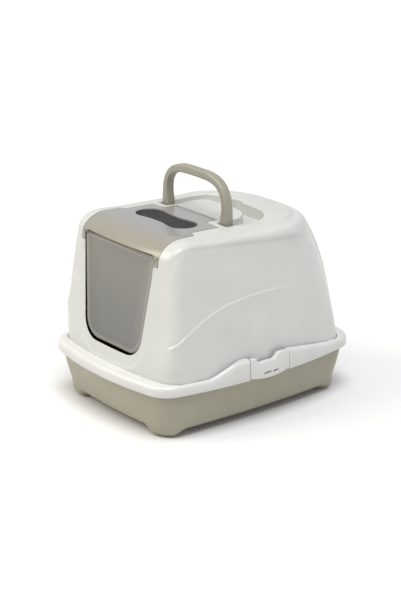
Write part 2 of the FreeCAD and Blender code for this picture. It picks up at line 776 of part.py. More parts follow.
def build():
    fill_sheet()
    pieces = [
        tray(), hood_shell(), flip_cover(), door_flap(), carry_handle(),
        side_clip("right", 1), side_clip("left", -1), filter_pad(), filter_cradle(),
    ]
    pieces += rods()
    DOC.recompute()
    for item in DOC.Objects:
        if {"Invalid", "Error"} & set(item.State):
            raise RuntimeError(f"{item.Label} did not compute: {item.State}")
    os.makedirs("parts", exist_ok=True)
    for piece in pieces:
        if piece.Shape.isNull() or not piece.Shape.isValid():
            raise RuntimeError(f"{piece.Label} has no valid shape")
        piece.Shape.exportStep(f"parts/{piece.Label}.step")


build()
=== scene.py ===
import math

import bmesh
import bpy
import numpy as np
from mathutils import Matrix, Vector
from mathutils.bvhtree import BVHTree

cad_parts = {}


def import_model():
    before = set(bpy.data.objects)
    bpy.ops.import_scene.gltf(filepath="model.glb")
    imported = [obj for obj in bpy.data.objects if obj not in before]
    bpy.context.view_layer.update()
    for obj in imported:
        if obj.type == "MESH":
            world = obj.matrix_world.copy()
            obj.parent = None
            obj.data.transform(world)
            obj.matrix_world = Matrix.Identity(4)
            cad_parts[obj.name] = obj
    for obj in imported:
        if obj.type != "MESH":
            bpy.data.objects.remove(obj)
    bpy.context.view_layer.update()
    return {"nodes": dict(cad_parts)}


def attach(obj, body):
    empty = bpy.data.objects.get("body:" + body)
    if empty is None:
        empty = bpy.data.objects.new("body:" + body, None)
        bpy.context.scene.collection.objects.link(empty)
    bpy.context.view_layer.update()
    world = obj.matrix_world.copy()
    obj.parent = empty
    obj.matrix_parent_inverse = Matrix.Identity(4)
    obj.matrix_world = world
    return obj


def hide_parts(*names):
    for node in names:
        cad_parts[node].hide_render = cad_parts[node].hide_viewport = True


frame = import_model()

NODES = frame["nodes"]
MM = 0.001


# ---------------------------------------------------------------- materials


class Look:
    """A procedural material: a Principled shader with mottled colour, uneven gloss and bump."""

    def __init__(self, name, color, roughness, **sockets):
        self.material = bpy.data.materials.new(name)
        self.material.use_nodes = True
        self.tree = self.material.node_tree
        self.shader = self.tree.nodes["Principled BSDF"]
        self.shader.inputs["Base Color"].default_value = (*color, 1)
        self.shader.inputs["Roughness"].default_value = roughness
        for socket, value in sockets.items():
            self.shader.inputs[socket.replace("_", " ")].default_value = value
        self.color, self.roughness = color, roughness
        self.coords = self.add("ShaderNodeTexCoord").outputs["Object"]

    def add(self, kind, **settings):
        node = self.tree.nodes.new(kind)
        for key, value in settings.items():
            setattr(node, key, value)
        return node

    def link(self, source, target):
        self.tree.links.new(source, target)

    def noise(self, scale, detail=2.0):
        node = self.add("ShaderNodeTexNoise")
        node.inputs["Scale"].default_value = scale
        node.inputs["Detail"].default_value = detail
        self.link(self.coords, node.inputs["Vector"])
        return node.outputs["Fac"]

    def spread(self, value, low, high, from_low=0.3, from_high=0.7):
        node = self.add("ShaderNodeMapRange")
        for key, number in zip(
            ("From Min", "From Max", "To Min", "To Max"), (from_low, from_high, low, high)
        ):
            node.inputs[key].default_value = number
        self.link(value, node.inputs["Value"])
        return node.outputs["Result"]

    def mix(self, factor, first, second):
        """Mixes two colours; either may be a colour tuple or a socket."""
        node = self.add("ShaderNodeMix", data_type="RGBA")
        self.link(factor, node.inputs["Factor"])
        for value, socket in ((first, node.inputs[6]), (second, node.inputs[7])):
            if isinstance(value, tuple):
                socket.default_value = (*value, 1)
            else:
                self.link(value, socket)
        return node.outputs[2]

    def mottle(self, amount, scale=14):
        """The colour drifts a little, as in moulded plastic."""
        dark = tuple(c * (1 - amount) for c in self.color)
        light = tuple(min(c * (1 + amount), 1) for c in self.color)
        factor = self.spread(self.noise(scale, 3), 0, 1)
        self.link(self.mix(factor, dark, light), self.shader.inputs["Base Color"])
        return self

    def gloss(self, amount, scale=40):
        low, high = self.roughness * (1 - amount), self.roughness * (1 + amount)
        self.link(self.spread(self.noise(scale, 4), low, high), self.shader.inputs["Roughness"])
        return self

    def grain(self, scale, strength, distance=0.0002, detail=2.0):
        bump = self.add("ShaderNodeBump")
        bump.inputs["Strength"].default_value = strength
        bump.inputs["Distance"].default_value = distance
        self.link(self.noise(scale, detail), bump.inputs["Height"])
        self.link(bump.outputs["Normal"], self.shader.inputs["Normal"])
        return self


def plastic(name, color, roughness, grain=0.25, **sockets):
    return Look(name, color, roughness, **sockets).mottle(0.035).gloss(0.18).grain(900, grain)


WHITE = plastic("hood_white", (0.538, 0.548, 0.526), 0.34, 0.1, Coat_Weight=0.15).material
CLIP = plastic("clip_white", (0.60, 0.603, 0.585), 0.34, 0.1, Coat_Weight=0.15).material
TAUPE = plastic("tray_taupe", (0.318, 0.298, 0.23), 0.46, 0.3).material
HANDLE = plastic("handle_taupe", (0.285, 0.27, 0.215), 0.36, 0.3, Coat_Weight=0.2).material
CRADLE = plastic("cradle_grey", (0.30, 0.28, 0.24), 0.45).material
PIN = plastic("pin_plastic", (0.55, 0.54, 0.50), 0.4).material


def two_tone(name, first, second, roughness, axis, low, high, wave=0.0, **sockets):
    """Moulded smoked plastic, its colour drifting from one colour to another along an axis: on the
    flip cover the cool grey top is a painted sky reflection; on the door the colour is darker and
    cooler low down, lighter and warmer higher up.
    """
    look = Look(name, first, roughness, **sockets)
    split = look.add("ShaderNodeSeparateXYZ")
    look.link(look.coords, split.inputs["Vector"])
    place = split.outputs[axis]
    if wave:
        shift = look.spread(look.noise(11, 1), -wave, wave)
        total = look.add("ShaderNodeMath", operation="ADD")
        look.link(place, total.inputs[0])
        look.link(shift, total.inputs[1])
        place = total.outputs[0]
    factor = look.spread(place, 0, 1, low, high)
    base = look.mix(factor, first, second)
    cloud = look.spread(look.noise(30, 3), 0, 0.12)
    dark = tuple(c * 0.8 for c in second)
    look.link(look.mix(cloud, base, dark), look.shader.inputs["Base Color"])
    look.gloss(0.15)
    return look.grain(700, 0.06).material


# Flip cover: taupe at the front bend; the lighter cool grey over the top, with a wavy border, is a
# painted sky reflection.
COVER = two_tone(
    "cover_grey", (0.285, 0.266, 0.218), (0.275, 0.275, 0.274), 0.22, "Y", -0.178, -0.146, 0.012,
    Coat_Weight=0.55, Coat_Roughness=0.1,
)
# Axis, start and end in metres, and waviness of the drift over the door.
DOOR_DRIFT = ("Z", 0.15, 0.29, 0.02)
DOOR = two_tone(
    "door_smoke", (0.115, 0.118, 0.12), (0.175, 0.169, 0.146), 0.22, *DOOR_DRIFT,
    Coat_Weight=0.35, Coat_Roughness=0.1,
)
DOOR_RIM = two_tone(
    "door_rim", (0.175, 0.172, 0.16), (0.215, 0.204, 0.172), 0.2, *DOOR_DRIFT,
    Coat_Weight=0.5, Coat_Roughness=0.1,
)
# Dark brown for the door's bevels and edges; the cover's lip bead also wears it as a painted shadow
# of the gap above the door.
DOOR_BEVEL_AND_GAP_SHADE = two_tone(
    "door_bevel_and_gap_shade", (0.115, 0.10, 0.075), (0.15, 0.122, 0.08), 0.26, *DOOR_DRIFT,
    Coat_Weight=0.4, Coat_Roughness=0.1,
)


def fibre(name, dark, light):
    """Matted fibre: dark, with pale speckles."""
    look = Look(name, dark, 0.92)
    speckle = look.spread(look.noise(620, 3), 0, 1, 0.5, 0.72)
    look.link(look.mix(speckle, dark, light), look.shader.inputs["Base Color"])
    return look.grain(900, 1.0, 0.0012, 4).material


FILTER = fibre("filter_charcoal", (0.018, 0.018, 0.019), (0.10, 0.10, 0.10))

LOOKS = {
    "tray": TAUPE,
    "hood_shell": WHITE,
    "flip_cover": COVER,
    "door_flap": DOOR,
    "carry_handle": HANDLE,
    "side_clip_left": CLIP,
    "side_clip_right": CLIP,
    "filter_pad": FILTER,
    "filter_cradle": CRADLE,
}


def paint(obj, material):
    obj.data.materials.clear()
    obj.data.materials.append(material)


for name, node in NODES.items():
    paint(node, LOOKS.get(name, PIN))


# ---------------------------------------------------------------- hood surface

# Level over the middle of the box, half the width, reach to the front and to the back, in mm.
HOOD_OFFSETS = np.array(
    [
        (80, 194, 229.5, 232),
        (112, 189.5, 226, 229),
        (156, 183.5, 221.3, 225),
        (200, 177.5, 216.6, 219.5),
        (240, 172, 212.4, 213.5),
        (280, 166.3, 208.2, 205.5),
        (316, 160.5, 203.6, 195.5),
        (332, 157.5, 199.3, 190),
        (343, 154.8, 191, 184.8),
        (350, 150.5, 181, 179.5),
        (354.8, 141, 169.5, 173),
        (359, 112, 154, 162),
    ]
)
RIM_BASE, RIM_TOP, TOP_LEVEL = 92, 112, 359
CROWN, REAR_CROWN, TOP_FALL = 2.6, 8, 0.033  # the top's doming, and its slope down to the back
FRONT_BULGE, BACK_BULGE = 960, 710  # radii of the front and the back wall in plan
WALL = 3
ARC_STEPS = (52, 26, 120, 40, 46)  # front, front corner, side, back corner, back


def smooth(t, low, high):
    t = np.clip((t - low) / (high - low), 0, 1)
    return t * t * (3 - 2 * t)


def monotone(x, y, at):
    """Values at the given places on a smooth curve through the table, without overshoot."""
    h, slope = np.diff(x), np.diff(y, axis=0) / np.diff(x)[:, None]
    m = np.zeros_like(y)
    m[0], m[-1] = slope[0], slope[-1]
    for i in range(1, len(x) - 1):
        a, b = slope[i - 1], slope[i]
        w1, w2 = 2 * h[i] + h[i - 1], h[i] + 2 * h[i - 1]
        same = a * b > 0
        mean = (w1 + w2) / (w1 / np.where(same, a, 1) + w2 / np.where(same, b, 1))
        m[i] = np.where(same, mean, 0)
    k = np.clip(np.searchsorted(x, at, side="right") - 1, 0, len(x) - 2)
    s = ((at - x[k]) / h[k])[:, None]
    hk = h[k][:, None]
    return (
        (1 + 2 * s) * (1 - s) ** 2 * y[k]
        + s * (1 - s) ** 2 * hk * m[k]
        + s * s * (3 - 2 * s) * y[k + 1]
        + s * s * (s - 1) * hk * m[k + 1]
    )


def meet(c0, r0, c1, r1, sign):
    """Where two circles cross, on the side of +X and of the given sign of Y."""
    d = c1 - c0
    gap = np.hypot(*d)
    along = (r0**2 - r1**2 + gap**2) / (2 * gap)
    off = math.sqrt(max(r0**2 - along**2, 0))
    base = c0 + d * along / gap
    turn = np.array([-d[1], d[0]]) / gap * off
    options = [base + turn, base - turn]
    return max(options, key=lambda p: sign * p[1] + p[0] * 0.01)


def arc(centre, start, end, steps):
    a, b = (math.atan2(*(p - centre)[::-1]) for p in (start, end))
    angles = a + (b - a) * np.arange(steps) / steps
    radius = np.hypot(*(start - centre))
    return centre + radius * np.column_stack((np.cos(angles), np.sin(angles)))


def barrel(width, front, back, side_r, front_r, back_r, front_c, back_c, steps=ARC_STEPS):
    """A closed plan outline of bulging sides and tangent corners, from the front's middle."""
    side = np.array([width - side_r, 0.0])
    ends = []
    for sign, reach, end_r, corner in ((-1, front, front_r, front_c), (1, back, back_r, back_c)):
        end = np.array([0.0, sign * (reach - end_r)])
        centre = meet(side, side_r - corner, end, end_r - corner, sign)
        on_side = side + (centre - side) / np.hypot(*(centre - side)) * side_r
        on_end = end + (centre - end) / np.hypot(*(centre - end)) * end_r
        ends.append((end, centre, on_side, on_end))
    (f_end, f_mid, f_side, f_on), (b_end, b_mid, b_side, b_on) = ends
    right = np.vstack(
        [
            arc(f_end, np.array([0.0, -front]), f_on, steps[0]),
            arc(f_mid, f_on, f_side, steps[1]),
            arc(side, f_side, b_side, steps[2]),
            arc(b_mid, b_side, b_on, steps[3]),
            arc(b_end, b_on, np.array([0.0, back]), steps[4]),
            [[0.0, back]],
        ]
    )
    left = right[-2:0:-1] * (-1, 1)
    return np.vstack([right, left])


def side_bulge(low_part):
    """Radius of the side walls in plan; low_part falls from 1 at the flange to 0 a third up."""
    return 1 / (low_part / 1900 + (1 - low_part) / 5000)


def front_corner(low_part):
    return 50 * low_part + 26 * (1 - low_part)


def hood_outline(row, inset=0.0):
    level, width, front, back = row
    rise = np.clip((level - RIM_TOP) / (TOP_LEVEL - RIM_TOP), 0, 1)
    low_part = max(1 - 3 * rise, 0)
    front_c = min(front_corner(low_part), 0.8 * width)
    back_c = min(52 * (1 - rise) + 110 * rise, 0.8 * width, 0.8 * back)
    plan = barrel(
        width - inset, front - inset, back - inset, side_bulge(low_part), FRONT_BULGE, BACK_BULGE,
        max(front_c - inset, 2), max(back_c - inset, 2),
    )
    tip = math.atan(TOP_FALL * rise**2)
    y, z = plan[:, 1] * math.cos(tip), level - inset - plan[:, 1] * math.sin(tip)
    return np.column_stack((plan[:, 0], y, z))


def hood_grid(inset, step, bottom):
    """Rings of points from the bottom of the wall up to the middle of the top."""
    run = np.hypot(np.diff(HOOD_OFFSETS[:, 0]), np.diff(HOOD_OFFSETS[:, 1]))
    places = np.concatenate([[0], np.cumsum(run)])
    start = np.interp(bottom + inset, HOOD_OFFSETS[:, 0], places)
    at = np.linspace(start, places[-1], int((places[-1] - start) / step) + 1)
    rings = [hood_outline(row, inset) for row in monotone(places, HOOD_OFFSETS, at)]
    edge = rings[-1]
    count = int(112 / step)
    for k in (1 - np.arange(1, count) / count):
        ring = edge * (k, k, 1)
        crown = CROWN + REAR_CROWN * smooth(ring[:, 1], 0, 90)
        ring[:, 2] = edge[:, 2] - TOP_FALL * (ring[:, 1] - edge[:, 1]) + crown * (1 - k * k)
        rings.append(ring)
    return np.array(rings)


# ---------------------------------------------------------------- hood relief


def polyline_distance(points, path):
    """Distance of 2D points from a path, and how far along it the nearest place is."""
    best, where = np.full(points.shape[:-1], 1e9), np.zeros(points.shape[:-1])
    travelled = 0.0
    for a, b in zip(path[:-1], path[1:]):
        d = b - a
        length = np.hypot(*d)
        t = np.clip(((points - a) @ d) / length**2, 0, 1)
        gap = np.hypot(*np.moveaxis(points - a - t[..., None] * d, -1, 0))
        closer = gap < best
        best, where = np.where(closer, gap, best), np.where(closer, travelled + t * length, where)
        travelled += length
    return best, where / travelled


def smooth_path(points, steps=12):
    """Catmull-Rom curve through the points."""
    p = np.array(points, float)
    p = np.vstack([2 * p[0] - p[1], p, 2 * p[-1] - p[-2]])
    out = []
    for i in range(1, len(p) - 2):
        for t in np.arange(steps) / steps:
            out.append(
                0.5 * (
                    2 * p[i] + (p[i + 1] - p[i - 1]) * t
                    + (2 * p[i - 1] - 5 * p[i] + 4 * p[i + 1] - p[i + 2]) * t**2
                    + (3 * p[i] - p[i - 1] - 3 * p[i + 1] + p[i + 2]) * t**3
                )
            )
    out.append(p[-2])
    return np.array(out)


# The raised line that sweeps up each side, as (y, z).
SWEEP = smooth_path(
    [(-217, 118), (-220, 138), (-219, 157), (-212, 173), (-183, 196), (-153, 212), (-125, 225),
     (-88, 237), (-50, 243), (-12, 245.5), (30, 245.5), (66, 244.5), (105, 243)]
)


def rounded_box(x, y, low_x, high_x, low_y, high_y, radius):
    """Signed distance inside a rounded rectangle, positive inside."""
    qx = np.maximum(low_x - x, x - high_x) + radius
    qy = np.maximum(low_y - y, y - high_y) + radius
    outside = np.hypot(np.maximum(qx, 0), np.maximum(qy, 0)) + np.minimum(np.maximum(qx, qy), 0)
    return radius - outside


PANEL_DEPTH, PANEL_BEAD, LEDGE, SILL_DEPTH = 3.0, 0.9, 3.0, 2.0
PLATEAU_STEP, REAR_LIFT = 2.8, 3.6


def relief(p):
    """How far each point of the hood stands out from the plain form, in mm."""
    x, y, z = np.abs(p[..., 0]), p[..., 1], p[..., 2]
    lift = np.zeros_like(x)
    # side panels, set in behind a soft edge that runs up the corners and along the top
    tilt = z + 0.09 * (y + 20)
    depth = rounded_box(y, tilt, -199 - 0.1 * (300 - z), 400, 0, 343, 46)
    rear = 215 - 0.0042 * np.maximum(z - 112, 0) ** 1.75 - y
    inside = np.minimum(depth, rear)
    side = smooth(x, 96, 128)
    lift -= PANEL_DEPTH * smooth(inside, -2, 6) * side
    lift += PANEL_BEAD * np.exp(-((inside + 5) / 4.0) ** 2) * side
    # the sweep: a narrow ledge, with the wall below it standing out
    gap, along = polyline_distance(np.stack([y, z], -1), SWEEP)
    ends = smooth(along, 0, 0.06) * (1 - smooth(along, 0.75, 1))
    fade = ends * smooth(x, 148, 164) * (z < 300)
    above = np.interp(y, SWEEP[:, 0], SWEEP[:, 1]) - z
    signed = np.where(above > 0, gap, -gap)
    lift += LEDGE * smooth(signed, -1.4, 1.4) * np.exp(-np.maximum(signed, 0) / 24) * fade
    # shallow recess round the lower part of the doorway
    half = 98 + 0.1 * (z - 142)
    sill = rounded_box(x, z, -400, half, 116, 420, 52)
    lift -= SILL_DEPTH * smooth(sill, -4, 5) * (y < -150) * (1 - smooth(z, 290, 325))
    # plateau on the top, round the cover and the handle
    plateau = rounded_box(x, y, -400, 127, -400, 152, 88)
    top = smooth(z, 347, 352) * smooth(y, -128, -60)
    lift -= PLATEAU_STEP * (1 - smooth(plateau, -9, 2)) * (1 - smooth(-plateau, 12, 26)) * top
    # the back of the top stands a little higher
    lift += REAR_LIFT * smooth(y, 20, 125) * smooth(z, 330, 354)
    return lift


def carve(rings):
    """Moves the rings along their normals by the relief."""
    around = np.roll(rings, -1, 1) - np.roll(rings, 1, 1)
    upward = np.gradient(rings, axis=0)
    normal = np.cross(around, upward)
    normal /= np.linalg.norm(normal, axis=-1, keepdims=True)
    return rings + normal * relief(rings)[..., None]


# ---------------------------------------------------------------- mesh helpers


def new_object(name, vertices, faces):
    mesh = bpy.data.meshes.new(name)
    mesh.from_pydata([tuple(v) for v in np.asarray(vertices) * MM], [], faces)
    mesh.validate()
    obj = bpy.data.objects.new(name, mesh)
    bpy.context.scene.collection.objects.link(obj)
    return obj


def ring_faces(start_a, start_b, count):
    return [
        (start_a + i, start_a + (i + 1) % count, start_b + (i + 1) % count, start_b + i)
        for i in range(count)
    ]


def shell(name, outer, inner):
    """A closed skin between two stacks of rings, joined along their first rings."""
    count = outer.shape[1]
    vertices, faces = [], []
    for rings, flip in ((outer, False), (inner, True)):
        base = len(vertices)
        vertices += list(rings.reshape(-1, 3))
        vertices.append(rings[-1].mean(0))
        part = []
        for i in range(len(rings) - 1):
            part += ring_faces(base + i * count, base + (i + 1) * count, count)
        last, tip = base + (len(rings) - 1) * count, len(vertices) - 1
        part += [(last + i, last + (i + 1) % count, tip) for i in range(count)]
        faces += [f[::-1] for f in part] if flip else part
    second = len(outer) * count + 1
    faces += ring_faces(second, 0, count)
    return new_object(name, vertices, faces)


def prism(points, low, high, axis="Z"):
    """A closed block with the given outline, for cutting."""
    if axis == "X":
        ends = [[(level, a, b) for a, b in points] for level in (low, high)]
    elif axis == "Y":
        ends = [[(a, level, b) for a, b in points] for level in (low, high)]
    else:
        ends = [[(a, b, level) for a, b in points] for level in (low, high)]
    n = len(points)
    faces = [tuple(range(n))[::-1], tuple(range(n, 2 * n))] + ring_faces(0, n, n)
    obj = new_object("cutter", ends[0] + ends[1], faces)
    make_outward(obj)
    return obj


def make_outward(obj):
    """Turns the faces so that they look outwards."""
    work = bmesh.new()
    work.from_mesh(obj.data)
    bmesh.ops.recalc_face_normals(work, faces=work.faces)
    work.to_mesh(obj.data)
    work.free()


def box_cutter(x0, x1, y0, y1, z0, z1):
    return prism([(x0, y0), (x1, y0), (x1, y1), (x0, y1)], z0, z1)


def rounded_outline(points, radii, steps=8):
    """Rounds the corners of a polygon."""
    points = [np.array(p, float) for p in points]
    out = []
    for i, (point, radius) in enumerate(zip(points, radii)):
        if not radius:
            out.append(tuple(point))
            continue
        to_a = points[i - 1] - point
        to_b = points[(i + 1) % len(points)] - point
        to_a, to_b = to_a / np.hypot(*to_a), to_b / np.hypot(*to_b)
        half = math.acos(np.clip(to_a @ to_b, -1, 1)) / 2
        reach = radius / math.tan(half)
        middle = (to_a + to_b) / np.hypot(*(to_a + to_b)) * radius / math.sin(half)
        start, end = to_a * reach - middle, to_b * reach - middle
        a0, a1 = math.atan2(start[1], start[0]), math.atan2(end[1], end[0])
        turn = (a1 - a0 + math.pi) % (2 * math.pi) - math.pi
        for t in np.arange(steps + 1) / steps:
            angle = a0 + turn * t
            spoke = radius * np.array([math.cos(angle), math.sin(angle)])
            out.append(tuple(point + middle + spoke))
    return out


def combine(obj, cutters, operation="DIFFERENCE"):
    for cutter in cutters:
        step = obj.modifiers.new("step", "BOOLEAN")
        step.object, step.operation, step.solver = cutter, operation, "MANIFOLD"
    bpy.context.view_layer.update()
    done = obj.evaluated_get(bpy.context.evaluated_depsgraph_get())
    mesh = bpy.data.meshes.new_from_object(done)
    obj.modifiers.clear()
    obj.data = mesh
    for cutter in cutters:
        bpy.data.objects.remove(cutter)


def finish_piece(obj, body, material, slot, *nodes, crease=38):
    obj.data.polygons.foreach_set("use_smooth", [True] * len(obj.data.polygons))
    obj.data.set_sharp_from_angle(angle=math.radians(crease))
    paint(obj, material)
    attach(obj, body)
    if nodes:
        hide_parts(*nodes)


# ---------------------------------------------------------------- hood pieces


def cover_plan(gap):
    """Plan of the flip cover, moved outwards by gap: wide front, stepped rear and tongue."""
    rear = -13 + 7 * gap if gap >= 0 else -20.5
    half = [
        (121 + gap, -265, 0), (114.5 + gap, -112, 3), (100 + gap, -105, 2),
        (100 + gap, -42.5 + gap, 2), (63.3 + gap, -42.5 + gap, 2), (63.3 + gap, rear, 1),
    ]
    points = [(x, y) for x, y, _ in half] + [(-x, y) for x, y, _ in half[::-1]]
    radii = [r for *_, r in half] + [r for *_, r in half[::-1]]
    return rounded_outline(points, radii)


DOOR_HALF_FOOT, DOOR_LOW, DOOR_FLARE, DOOR_CORNER = 82.6, 142, 0.125, 40


def door_shape(grow, top, crest=0):
    """The doorway seen from the front."""
    foot, low = DOOR_HALF_FOOT + grow, DOOR_LOW - 1.7 * grow
    head = foot + DOOR_FLARE * (top - low)
    points = [(foot, low), (head, top), (-head, top), (-foot, low)]
    corner = DOOR_CORNER + grow
    return rounded_outline(points, [corner, crest, crest, corner], 14)


def dense(points, spacing):
    """The closed outline with no two points further apart than the spacing."""
    points = np.array(points)
    out = []
    for a, b in zip(points, np.roll(points, -1, 0)):
        count = max(int(np.ceil(np.hypot(*(b - a)) / spacing)), 1)
        out += [a + (b - a) * t / count for t in range(count)]
    return np.array(out)


def trough_plan():
    """U-shaped outline of the trough, with the outward direction at each point."""
    half, rear, front = 101.5, 84.5, -26
    edge = rounded_outline(
        [(half, front), (half, rear), (-half, rear), (-half, front)], [3, 42, 42, 3], 16
    )
    half, rear = 75.5, 56
    island = rounded_outline(
        [(-half, front), (-half, rear), (half, rear), (half, front)], [0, 36, 36, 0], 16
    )
    plan = dense(edge + island, 4)
    bay = plan[:, 1] > 70
    plan[:, 1] += bay * 7.5 * (1 - smooth(np.abs(plan[:, 0] + 4), 9, 17))
    ahead = np.roll(plan, -1, 0) - np.roll(plan, 1, 0)
    out = np.column_stack((ahead[:, 1], -ahead[:, 0]))
    return plan, out / np.linalg.norm(out, axis=1, keepdims=True)


def surface_tree(rings):
    """The surface through the rings, ready for ray casts."""
    count = rings.shape[1]
    faces = []
    for i in range(len(rings) - 1):
        faces += ring_faces(i * count, (i + 1) * count, count)
    return BVHTree.FromPolygons([tuple(v) for v in rings.reshape(-1, 3)], faces)


def heights(rings):
    """A function that gives the height of the surface at each place in plan."""
    tree = surface_tree(rings)

    def level(plan):
        hits = [tree.ray_cast(Vector((x, y, 500)), Vector((0, 0, -1)))[0] for x, y in plan]
        return np.array([hit.z if hit else 355 for hit in hits])

    return level


TROUGH_FLOOR, NOTCH_HALF = 342.2, 47.8


def trough_cutter(level):
    """The room of the trough: drafted walls that round over into the top of the hood."""
    plan, out = trough_plan()
    rings = []

    def add(grow, height):
        ring = plan + out * grow
        rings.append(np.column_stack((ring, np.full(len(ring), height))))

    add(-1.6, TROUGH_FLOOR)
    add(-0.5, TROUGH_FLOOR + 0.5)
    add(0, TROUGH_FLOOR + 1.6)
    draft, soft = 1.2, 3.4
    for angle in np.radians(np.linspace(0, 84, 7)):
        ring = plan + out * (draft + soft * (1 - math.cos(angle)))
        rings.append(np.column_stack((ring, level(ring) - soft * (1 - math.sin(angle)))))
    ring = plan + out * (draft + soft * 1.3)
    rings.append(np.column_stack((ring, level(ring) + 2)))
    add(draft + soft * 1.3, 420)
    return loft("cutter", rings)


def trough_block(level):
    """Solid under the hood's top, out of which the trough is cut."""
    plan, out = trough_plan()
    ring = plan + out * 3.6
    low = np.column_stack((ring, np.full(len(ring), TROUGH_FLOOR - 3)))
    high = np.column_stack((ring, level(ring) - 1.5))
    return loft("block", [low, high])


def clip_notches(inner):
    """Cutters for the notches that the side clips fill, reaching in to the given half-width."""
    cutters = []
    for side in (-1, 1):
        x0, x1 = sorted((side * inner, side * 215))
        cutters.append(box_cutter(x0, x1, -NOTCH_HALF, NOTCH_HALF, 80, 150))
    return cutters


def hood_skin():
    outer = hood_grid(0, 1.5, 109)
    inner = hood_grid(WALL, 8, 106)
    outer = carve(outer)
    level = heights(outer[-110::2, ::2])
    skin = shell("hood_skin", outer, inner)
    combine(skin, [trough_block(level)], "UNION")
    tools = [prism(cover_plan(0), 319, 400), prism(door_shape(1.6, 322), -280, -120, "Y")]
    tools.append(trough_cutter(level))
    combine(skin, tools + clip_notches(189.9))
    finish_piece(skin, "hood", WHITE, "hood_white", "hood_shell")


def cover_seat():
    """The ledge under the edge of the flip cover and the lugs of its hinge."""
    outer = hood_grid(3.1, 4, 322)
    inner = hood_grid(5.6, 6, 319)
    ledge = shell("cover_ledge", outer, inner)
    combine(ledge, [prism(cover_plan(5), 300, 400)], "INTERSECT")
    combine(ledge, [prism(cover_plan(-3.5), 290, 410), box_cutter(-200, 200, -50, 260, 290, 410)])
    finish_piece(ledge, "hood", WHITE, "hood_white", "hood_shell")
    for side in (-1, 1):
        x0, x1 = sorted((side * 65, side * 73))
        corners = [(-22, 351), (-12, 351), (-12, 358.6), (-22, 358.6)]
        section = rounded_outline(corners, [1, 1, 3, 3], 5)
        lug = prism(section, x0, x1, "X")
        lug.name = "cover_lug"
        finish_piece(lug, "hood", WHITE, "hood_white", "hood_shell")


RIM_HALF_WIDTH, RIM_HALF_LENGTH, RIM_SIDE_BULGE, RIM_END_BULGE = 201, 250.9, 950, 680
RIM_CORNER, RIM_ROUND, RIM_RISE = 48, 7, 20.5
RIM_STEPS = (40, 24, 190, 24, 40)


def rim_outline(inset):
    reach, corner = RIM_HALF_LENGTH - inset, RIM_CORNER - inset
    return barrel(
        RIM_HALF_WIDTH - inset, reach, reach, RIM_SIDE_BULGE, RIM_END_BULGE, RIM_END_BULGE,
        corner, corner, RIM_STEPS,
    )


def flange():
    """The rim round the foot of the hood, raised beside the clips."""
    edge = rim_outline(0)
    along = edge[:, 1]
    share = smooth(along, -140, -66) * (1 - smooth(along, 25, 205)) * (np.abs(edge[:, 0]) > 150)
    top = RIM_TOP + RIM_RISE * share
    wall = []
    for level in (RIM_TOP, RIM_TOP + 21):
        row = [np.interp(level, HOOD_OFFSETS[:, 0], HOOD_OFFSETS[:, i]) for i in range(4)]
        low_part = max(1 - 3 * (level - RIM_TOP) / (TOP_LEVEL - RIM_TOP), 0)
        wall.append(barrel(
            row[1] - 1.5, row[2] - 1.5, row[3] - 1.5, side_bulge(low_part), FRONT_BULGE,
            BACK_BULGE, front_corner(low_part), 52, RIM_STEPS,
        ))
    mix = ((top - RIM_TOP) / 21)[:, None]
    wall = wall[0] * (1 - mix) + wall[1] * mix
    section = []
    for inset, above in ((WALL, 0.6), (2.6, 0), (0.6, 0), (0, 1)):
        height = np.full(len(top), RIM_BASE + above)
        section.append(np.column_stack((rim_outline(inset), height)))
    radius = RIM_ROUND
    for angle in np.radians(np.linspace(0, 90, 10)):
        inset = radius * (1 - math.cos(angle))
        plan = rim_outline(inset)
        section.append(np.column_stack((plan, top - radius + radius * math.sin(angle))))
    for share in (0.35, 0.7, 1):
        plan = rim_outline(radius) * (1 - share) + wall * share
        section.append(np.column_stack((plan, top)))
    for share in (1, 0.5, 0):
        plan = rim_outline(WALL) * (1 - share) + wall * share
        section.append(np.column_stack((plan, top - WALL)))
    rings = np.array(section)
    count = rings.shape[1]
    faces = []
    for i in range(len(rings)):
        faces += ring_faces(i * count, (i + 1) % len(rings) * count, count)
    ring = new_object("hood_flange", rings.reshape(-1, 3), faces)
    combine(ring, clip_notches(180))
    finish_piece(ring, "hood", CLIP, "hood_white", "hood_shell")


def flip_cover():
    outer = hood_grid(0, 2.4, 300)
    inner = hood_grid(2.7, 6, 297)
    cover = shell("cover_skin", outer, inner)
    combine(cover, [prism(cover_plan(-1.5), 320, 400)], "INTERSECT")
    slot = [
        (48, -115), (15, -109.5), (-15, -109.5), (-48, -115), (-76, -115), (-76, -59), (-48, -59),
        (-15, -64.5), (15, -64.5), (48, -59), (76, -59), (76, -115),
    ]
    window = rounded_outline(slot, [30, 60, 60, 30, 27, 27, 30, 60, 60, 30, 27, 27], 10)
    combine(cover, [prism(window, 330, 400), prism(door_shape(1.8, 338.5, 11), -280, -150, "Y")])
    finish_piece(cover, "cover", COVER, "cover_grey", "flip_cover")


def loft(name, rings):
    """A closed skin through rings of equal length, with flat ends."""
    rings = np.array(rings)
    count = rings.shape[1]
    faces = [tuple(range(count))[::-1]]
    for i in range(len(rings) - 1):
        faces += ring_faces(i * count, (i + 1) * count, count)
    last = (len(rings) - 1) * count
    faces.append(tuple(range(last, last + count)))
    return new_object(name, rings.reshape(-1, 3), faces)


def rod_mesh(radius, x0, x1, y, z):
    """A round bar along X with softened ends."""
    soft = min(0.6, radius / 3)
    angles = np.arange(28) / 28 * 2 * math.pi
    ends = ((x0, radius - soft), (x0 + soft, radius), (x1 - soft, radius), (x1, radius - soft))
    rings = []
    for x, r in ends:
        circle = y + r * np.cos(angles), z + r * np.sin(angles)
        rings.append(np.column_stack((np.full(28, x), *circle)))
    return loft("rod", rings)


DOOR_AXIS_Y, DOOR_AXIS_Z, DOOR_LEAN = -191.8, 333, 0.1054
COVER_AXIS_Y, COVER_AXIS_Z = -17, 356.2


